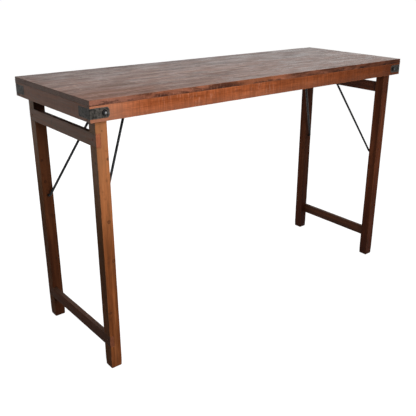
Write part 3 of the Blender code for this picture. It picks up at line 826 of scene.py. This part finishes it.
def strap_beds(node, sx, sy):
    """Cutters for a strap's bed: one for the long side with a rounded end, one for the table's end."""
    outer, run, end, half = strap_place(node, sx, sy)
    run, end, half, turn = run + FIT, end + FIT, half + FIT, STRAP_NOSE + FIT
    angles = np.linspace(0, pi / 2, ARC_STEPS)
    lower = [(run - turn + turn * sin(a), turn * (1 - cos(a)) - half) for a in angles]
    side = [(-BED_PAST, -half)] + lower + [(a, -v) for a, v in reversed(lower)] + [(-BED_PAST, half)]
    side = [Vector((outer.x - sx * a, outer.y + sy * BED_PAST, outer.z + v)) for a, v in side]
    flat = [(-BED_PAST, -half), (end, -half), (end, half), (-BED_PAST, half)]
    flat = [Vector((outer.x + sx * BED_PAST, outer.y - sy * b, outer.z + v)) for b, v in flat]
    deep = STRAP_THICK + FIT + BED_PAST
    return prism(side, Vector((0, -sy * deep, 0))), prism(flat, Vector((-sx * deep, 0, 0)))


def add_aprons():
    edges = (APRON_ROUND, APRON_WEAR)
    for end, sy in ENDS:
        cutters = [hole_for(f"{end}_{side}_pivot_bolt", 1, BOLT_DIA / 2) for side, _ in SIDES]
        for side, sx in SIDES:
            cutters += strap_beds(f"{end}_{side}_strap", sx, sy)
        add_board(f"{end}_apron", 0, ("long_apron", "plank_end"), *edges, cutters, seam_above=True)
    for side, sx in SIDES:
        cutters = [strap_beds(f"{end}_{side}_strap", sx, sy)[1] for end, sy in ENDS]
        add_board(f"{side}_end_apron", 1, ("end_apron", "end_y"), *edges, cutters, seam_above=True)


def add_battens():
    """Battens under the planks, each held to every plank by a countersunk screw."""
    for node in ("middle_batten", "left_catch_batten", "right_catch_batten"):
        low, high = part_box(node)
        spots = []
        for number, (plank_low, plank_high) in zip(PLANKS, PLANK_BOXES):
            y = (max(plank_low.y, low.y) + min(plank_high.y, high.y)) / 2
            x = (low.x + high.x) / 2 + SCREW_AWAY * (-1) ** number
            spots.append(Vector((x, y, low.z + SCREW_SUNK)))
        deep = Vector((0, 0, SCREW_HEAD + FIT))
        sinks = [axis_rod(spot - 2 * deep, spot + deep, 2, SCREW_DIA / 2 + FIT) for spot in spots]
        add_board(node, 1, ("end_apron", "end_y"), RAIL_ROUND, RAIL_WEAR, sinks, BATTEN_TONE)
        add_screws(f"{node}_screws", spots)


def add_screws(name, spots):
    """Slotted screw heads that face down, each with its slot at another angle."""
    radius = SCREW_DIA / 2
    profile = [(0, 0), (radius - SCREW_EASE, 0), (radius, -SCREW_EASE)]
    profile += [(radius, -SCREW_HEAD), (0, -SCREW_HEAD)]
    merged = bmesh.new()
    for count, spot in enumerate(spots):
        head = turned(name, lambda _: profile, spot, (0, 0, -1), steps=24, up=(1, 0, 0))
        along = Vector((cos(SLOT_TURN * count), sin(SLOT_TURN * count), 0))
        across = along.cross(Vector((0, 0, 1))) * (SLOT_WIDTH / 2)
        along = along * SCREW_DIA
        under = spot - Vector((0, 0, SLOT_DEPTH))
        outline = [under + u * along + v * across for u, v in ((1, 1), (-1, 1), (-1, -1), (1, -1))]
        merged.from_mesh(drilled(head, [prism(outline, Vector((0, 0, 2 * SLOT_DEPTH)))]))
    mesh = made(name, merged)
    mesh.set_sharp_from_angle(angle=SHARP)
    mesh.materials.append(FINISH["bolt"])
    piece = placed(name, mesh)
    piece["seed"] = SLOT_TURN * len(FINISHED)
    piece["tone"] = 1.0
    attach(piece, "table_top")


# Leg frames


def joint_place(name):
    return Vector(next(joint["pos_m"] for joint in frame["joints"] if joint["name"] == name))


def with_planes(grid, planes):
    """Grid lines with some planes among them, in place of the lines that lie close by."""
    far = [g for g in grid if min(abs(g - plane) for plane in planes) > 2 * FIT]
    return np.sort(np.concatenate([far, planes]))


def housed_block(low, high, side, sx):
    """The skin of a leg's block with its outer face cut back for the rail and the stretcher."""
    rails = [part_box(f"{side}_{name}") for name in ("rail", "stretcher")]
    housing_x = sx * (min(abs(rails[0][0].x), abs(rails[0][1].x)) - FIT)
    levels = [z for rail_low, rail_high in rails for z in (rail_low.z - FIT, rail_high.z + FIT)]
    xs, ys, zs = box_lines(low, high, 2)
    xs, zs = with_planes(xs, [housing_x]), with_planes(zs, levels)
    middle_x, middle_z = [(grid[1:] + grid[:-1]) / 2 for grid in (xs, zs)]
    outside = sx * middle_x > sx * housing_x
    within = np.any([(middle_z > levels[i]) & (middle_z < levels[i + 1]) for i in (0, 2)], axis=0)
    solid = np.repeat(~(outside[:, None, None] & within), len(ys) - 1, axis=1)
    return block([xs, ys, zs], solid)


def leg_mesh(end, side, sx):
    """A leg with a round top about its pivot, housings for two rails, and a rubbed foot."""
    node = f"{end}_{side}_leg"
    low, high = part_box(node)
    pivot = joint_place(f"{side}_frame_fold")
    points, quads, facing = housed_block(low, high, side, sx)
    edge = to_edge(points, low, high)
    seed = float(len(FINISHED))
    foot = np.clip(1.0 - (points[:, 2] - low.z) / FOOT_HEIGHT, 0.0, 1.0)
    radius = LEG_ROUND + LEG_WEAR * patchy(points, LEG_PATCHES, seed) + (FOOT_ROUND - LEG_ROUND) * foot
    points = worn(points, low, high, radius, LEG_DENTS, seed)
    half = (high.x - low.x) / 2
    top = points[:, 2] > pivot.z
    u, w = (points[top, 0] - pivot.x) / half, (points[top, 2] - pivot.z) / half
    inward = np.maximum(np.abs(u), w) / np.maximum(np.hypot(u, w), MERGE)
    points[top, 0] = pivot.x + u * inward * half
    points[top, 2] = pivot.z + w * inward * half
    outer = (facing == 0) & (sx * points[quads, 0].mean(axis=1) > sx * pivot.x)
    return to_mesh(node, points, quads, edge, np.where(outer, 2, facing == 2))


def add_frames():
    for side, sx in SIDES:
        brace = joint_place(f"{side}_brace_swing")
        _, brace_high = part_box(f"{side}_brace")
        stub = Vector((0, brace_high.y + FIT, 0))
        for end, _ in ENDS:
            at = f"{end}_{side}"
            drills = [hole_for(f"{at}_pivot_bolt", 1, BOLT_DIA / 2)]
            drills += [hole_for(f"{at}_{name}_peg", 0, PEG_DIA / 2) for name in ("rail", "stretcher")]
            drills += [axis_rod(brace - stub, brace + stub, 1, ROD_DIA / 2 + FIT)]
            mesh = drilled(leg_mesh(end, side, sx), drills)
            leg = stand_for(f"{at}_leg", mesh, ("leg", "end_x", "leg_outer"), LEG_TONE_AND_SHADE[at])
            leg["pale"] = LEG_PALE_AND_LIT[at]
        for name in ("rail", "stretcher"):
            node = f"{side}_{name}"
            pegs = [f"{end}_{node}_peg" for end, _ in ENDS]
            holes = [hole_for(peg, 0, PEG_DIA / 2) for peg in pegs]
            finishes = (name, f"{side}_end")
            board = add_board(node, 1, finishes, RAIL_ROUND, RAIL_WEAR, holes, RAIL_TONE_AND_SHADE[node])
            board["pale"] = RAIL_PALE.get(node, 0.0)
            for peg in pegs:
                add_peg(peg, sx)


def add_peg(node, sx):
    low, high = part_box(node)
    radius, length, ease = (high.z - low.z) / 2, high.x - low.x, PEG_EASE
    outer_end = [(0, 0), (radius - ease, 0), (radius, -ease)]
    inner_end = [(radius, ease - length), (radius - ease, -length), (0, -length)]
    outer = Vector((outer_face(low.x, high.x, sx), (low.y + high.y) / 2, (low.z + high.z) / 2))
    mesh = turned(node, lambda _: outer_end + inner_end, outer, (sx, 0, 0), steps=20)
    stand_for(node, mesh, ("end_x",), PEG_TONE)


# Iron pieces


def flat_ring(hole, radius, half):
    """Profile of a flat ring with eased edges."""
    ease = RING_EASE
    outer = [(radius - ease, half), (radius, half - ease), (radius, ease - half), (radius - ease, -half)]
    inner = [(hole + ease, -half), (hole, ease - half), (hole, half - ease), (hole + ease, half)]
    return outer + inner


def bolt_profile(radius, height, length):
    """A domed head over a shank, with a thread at the shank's end."""
    sphere = (radius**2 + height**2) / (2 * height)
    angles = [asin(radius / sphere) * i / DOME_STEPS for i in range(DOME_STEPS + 1)]
    dome = [(sphere * sin(a), height - sphere * (1 - cos(a))) for a in angles]
    crest, root = BOLT_DIA / 2, BOLT_DIA / 2 - THREAD_DEPTH
    shank = [(radius * HEAD_UNDER_SHARE, 0.0), (crest, 0.0), (crest, THREAD_LENGTH - length)]
    for i in range(int(THREAD_LENGTH / THREAD_PITCH)):
        start = THREAD_LENGTH - length - i * THREAD_PITCH
        shank += [(root, start - 0.5 * THREAD_PITCH), (crest, start - THREAD_PITCH)]
    return dome + shank + [(root, -length), (0, -length)]


def nut_profile(flats, thick, hole):
    """A hexagon nut's profile at an angle, with its corners cut back to a cone."""
    circle = flats / 2
    face, half = circle * NUT_FACE_SHARE, thick / 2

    def profile(angle):
        from_flat = (angle + pi / 6) % (pi / 3) - pi / 6
        reach = circle / cos(from_flat)
        drop = (reach - face) * tan(radians(NUT_CONE_DEG))
        upper = [(reach, half - drop), (face, half), (hole, half)]
        return [(radius, -along) for radius, along in reversed(upper)] + upper

    return profile


def add_pivots():
    hole = BOLT_DIA / 2 + FIT
    for at, _, _, sy in CORNERS:
        add_bolt(at, sy)
        for node in (f"{at}_spacer", f"{at}_washer"):
            low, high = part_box(node)
            profile = flat_ring(hole, (high.x - low.x) / 2, (high.y - low.y) / 2)
            mesh = turned(node, lambda _: profile, (low + high) / 2, (0, sy, 0), steps=40, closed=True)
            stand_for(node, mesh, ("bolt",), RING_TONE)
        node = f"{at}_nut"
        low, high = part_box(node)
        profile_at = nut_profile(high.z - low.z, high.y - low.y, hole)
        mesh = turned(node, profile_at, (low + high) / 2, (0, sy, 0), steps=60, closed=True)
        stand_for(node, mesh, ("bolt",), NUT_TONE)


def add_bolt(at, sy):
    """A pivot bolt with a hammered head, its crown worn bright and partly painted as a highlight: the painted
    distance grows from there.
    """
    node = f"{at}_pivot_bolt"
    low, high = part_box(node)
    middle = (low + high) / 2
    seat = Vector((middle.x, outer_face(low.y, high.y, sy) - sy * HEAD_HEIGHT, middle.z))
    profile = bolt_profile((high.x - low.x) / 2, HEAD_HEIGHT, high.y - low.y - HEAD_HEIGHT)
    mesh = turned(node, lambda _: profile, seat, (0, sy, 0), steps=48)
    spots = np.array([v.co for v in mesh.vertices])
    from_axis = np.hypot(spots[:, 0] - middle.x, spots[:, 2] - middle.z)
    paint_edge(mesh, np.maximum(from_axis - CROWN_WEAR_AND_HIGHLIGHT_RADIUS, 0.0))
    hammer(mesh, *BOLT_HAMMERED, float(len(FINISHED)))
    stand_for(node, mesh, ("bolt",), BOLT_TONE_AND_SHADE[at])


def hammer(mesh, depth, frequency, seed):
    """Beats shallow hollows into a mesh, inward only."""
    points = np.array([v.co for v in mesh.vertices])
    normals = np.array([v.normal for v in mesh.vertices])
    beat = np.clip(field(points, (frequency,) * 3, seed), 0, 1)
    points -= normals * (depth * beat)[:, None]
    mesh.vertices.foreach_set("co", points.ravel())


def strap_section(half):
    """A strap's cross section, outer face first: (height, depth behind that face) points."""
    ease, thick = STRAP_ROUND, STRAP_THICK
    turn = [(sin(a), 1 - cos(a)) for a in np.linspace(0, pi / 2, EASE_STEPS)]
    outer = [(v, 0.0) for v in np.linspace(ease - half, half - ease, STRAP_ROWS)]
    upper = [(half - ease + ease * s, ease * c) for s, c in turn[1:]]
    lower = [(-v, d) for v, d in reversed(upper)]
    inner = [(half - ease, thick), (0.0, thick), (ease - half, thick)]
    return outer + upper + inner + lower


def strap_plan(run, end):
    """Stations along a strap's outer face: (inward on X, inward on Y, and the face's direction on each)."""
    bend = STRAP_BEND
    arc = np.linspace(0, pi / 2, ARC_STEPS)
    nose = [(run - STRAP_NOSE * (1 - cos(t)), 0.0, 0.0, -1.0) for t in arc]
    long_side = [(a, 0.0, 0.0, -1.0) for a in np.linspace(run, bend, round((run - bend) / STRAP_STEP))]
    long_side = nose[:-1] + [s for s in long_side if s[0] < run - STRAP_NOSE]
    angles = np.linspace(-pi / 2, -pi, BEND_STEPS)[1:-1]
    corner = [(bend + bend * cos(a), bend + bend * sin(a), cos(a), sin(a)) for a in angles]
    end_side = [(0.0, b, -1.0, 0.0) for b in np.linspace(bend, end, round((end - bend) / STRAP_STEP))]
    return long_side + corner + end_side


def strap_mesh(node, sx, sy):
    """A hammered flat iron bent round a corner of the table, its long-side end rounded off."""
    outer, run, end, half = strap_place(node, sx, sy)
    half -= STRAP_WAVE / 2
    seed = float(len(FINISHED))
    points, edge = [], []
    plan = strap_plan(run, end)
    for a, b, na, nb in plan:
        past = max(0.0, STRAP_NOSE - (run - a)) if b == 0.0 else 0.0
        drop = STRAP_NOSE - sqrt(max(0.0, STRAP_NOSE**2 - past**2))
        wave = STRAP_WAVE * noise.noise(Vector((STRAP_WAVES_PER_METRE * (a - b), seed, 0.0)))
        here = half - drop + wave / 2
        section = strap_section(here)
        for height, depth in section:
            x, y = outer.x - sx * (a - na * depth), outer.y - sy * (b - nb * depth)
            points.append((x, y, outer.z + height))
            edge.append(min(here - abs(height), run - a if b == 0.0 else end - b) if depth == 0.0 else 0.0)
    count = len(section)
    faces = between_rows([(i, i + 1) for i in range(len(plan) - 1)], count, count)
    faces += [tuple(range(count)), tuple(range(len(points) - count, len(points)))]
    mesh = cleaned(to_mesh(node, np.array(points), faces, edge))
    hammer(mesh, *STRAP_HAMMERED, seed)
    return mesh


def add_straps():
    for at, side, sx, sy in CORNERS:
        node = f"{at}_strap"
        stand_for(node, strap_mesh(node, sx, sy), ("strap",), STRAP_TONE_AND_SHADE[side])


def add_hooks():
    """Hooks in their nodes' shape with eased edges, each held by two screws."""
    for side, sx in SIDES:
        node = f"{side}_brace_hook"
        bm = bmesh.new()
        bm.from_mesh(frame["nodes"][node].data)
        bmesh.ops.remove_doubles(bm, verts=bm.verts, dist=MERGE)
        bmesh.ops.dissolve_limit(bm, angle_limit=FLAT, verts=bm.verts, edges=bm.edges)
        sharp = [e for e in bm.edges if e.calc_face_angle(0.0) > SHARP]
        bmesh.ops.bevel(bm, geom=sharp, offset=HOOK_EASE, segments=2, profile=0.5, affect="EDGES")
        mesh = made(node, bm)
        mesh.shade_smooth()
        stand_for(node, cleaned(mesh), ("strap",))
        low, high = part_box(node)
        x = outer_face(low.x, high.x, sx) - sx * HOOK_SCREW_IN
        under = high.z - HOOK_THICK - HOOK_SCREW_PROUD
        add_screws(f"{node}_screws", [Vector((x, sy * HOOK_SCREW_Y, under)) for sy in (-1, 1)])


def bent(corners, radius, steps):
    """A path through corner points, each inner corner bent to a radius."""
    path = [corners[0]]
    for before, corner, after in zip(corners, corners[1:], corners[2:]):
        back = (before - corner).normalized()
        ahead = (after - corner).normalized()
        half = back.angle(ahead) / 2
        middle = corner + (back + ahead).normalized() * (radius / sin(half))
        start = corner + back * (radius / tan(half)) - middle
        turn = start.rotation_difference(corner + ahead * (radius / tan(half)) - middle)
        for i in range(steps + 1):
            part = turn.copy()
            part.angle = turn.angle * i / steps
            path.append(middle + part @ start)
    return path + [corners[-1]]


def add_braces():
    for side, sx in SIDES:
        node = f"{side}_brace"
        low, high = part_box(node)
        pivot = joint_place(f"{side}_brace_swing")
        radius = ROD_DIA / 2
        bar_x = outer_face(high.x, low.x, sx) + sx * radius
        _, leg_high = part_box(f"front_{side}_leg")
        stub = [(pivot.x, low.y, pivot.z), (pivot.x, leg_high.y + STUB_OFFSET, pivot.z)]
        half_path = stub + [(bar_x, -BAR_WIDTH / 2, high.z - radius)]
        corners = [Vector(p) for p in half_path + [(x, -y, z) for x, y, z in reversed(half_path)]]
        curve = bpy.data.curves.new(node, "CURVE")
        curve.dimensions = "3D"
        curve.bevel_depth = radius
        curve.bevel_resolution = 5
        curve.use_fill_caps = True
        path = bent(corners, ROD_BEND, steps=10)
        spline = curve.splines.new("POLY")
        spline.points.add(len(path) - 1)
        for point, spot in zip(spline.points, path):
            point.co = (*spot, 1.0)
        holder = placed(node, curve)
        mesh = evaluated(holder)
        bpy.data.objects.remove(holder)
        mesh.shade_smooth()
        stand_for(node, cleaned(mesh), ("rod",), BRACE_TONE_AND_SHADE[side])


# Stage


def add_camera():
    data = bpy.data.cameras.new("camera")
    data.lens = CAMERA_LENS
    data.sensor_width = CAMERA_SENSOR
    data.shift_x, data.shift_y = CAMERA_SHIFT
    camera = placed("camera", data)
    camera.location = CAMERA_PLACE
    camera.rotation_euler = [radians(turn) for turn in CAMERA_TURN_DEG]
    bpy.context.scene.camera = camera


def add_world():
    world = bpy.data.worlds.new("studio")
    bpy.context.scene.world = world
    world.use_nodes = True
    sky = Nodes(world.node_tree)
    lit = sky.node("Background", {"Color": WORLD_COLOUR, "Strength": WORLD_LIGHT})
    white = sky.node("Background", {"Color": (1.0, 1.0, 1.0), "Strength": 1.0})
    sky.white_behind(lit, white, "World Output")


def add_floor():
    bm = bmesh.new()
    bmesh.ops.create_grid(bm, x_segments=1, y_segments=1, size=FLOOR_HALF)
    floor = placed("floor", made("floor", bm))
    material = bpy.data.materials.new("pale_floor")
    material.use_nodes = True
    ground = Nodes(material.node_tree)
    dull = ground.node("BsdfDiffuse", {"Color": (FLOOR_BOUNCE,) * 3})
    shadow = ground.node("BsdfDiffuse", {"Color": (FLOOR_SHADOW,) * 3})
    glow = ground.node("Emission", {"Strength": FLOOR_WHITE})
    white = ground.node("AddShader", {0: shadow.outputs[0], 1: glow.outputs[0]})
    ground.white_behind(dull, white, "Material Output")
    floor.data.materials.append(material)


def add_overhead():
    data = bpy.data.lights.new("overhead", "SUN")
    data.energy = OVERHEAD_LIGHT
    data.angle = radians(OVERHEAD_SPREAD_DEG)
    placed("overhead", data).rotation_euler = Vector(OVERHEAD_FROM).to_track_quat("Z", "Y").to_euler()


def add_lamp(name, place, target, size, watts, mirrored):
    data = bpy.data.lights.new(name, "AREA")
    data.shape = "RECTANGLE"
    data.size, data.size_y = size
    data.energy = watts
    lamp = placed(name, data)
    lamp.location = place
    lamp.rotation_euler = (Vector(target) - Vector(place)).to_track_quat("-Z", "Y").to_euler()
    lamp.visible_camera = False
    lamp.visible_glossy = mirrored


add_planks()
add_aprons()
add_battens()
add_frames()
add_pivots()
add_straps()
add_hooks()
add_braces()
add_camera()
add_world()
add_floor()
add_overhead()
for lamp in LAMPS:
    add_lamp(*lamp)
bpy.context.scene.view_settings.view_transform = "Standard"
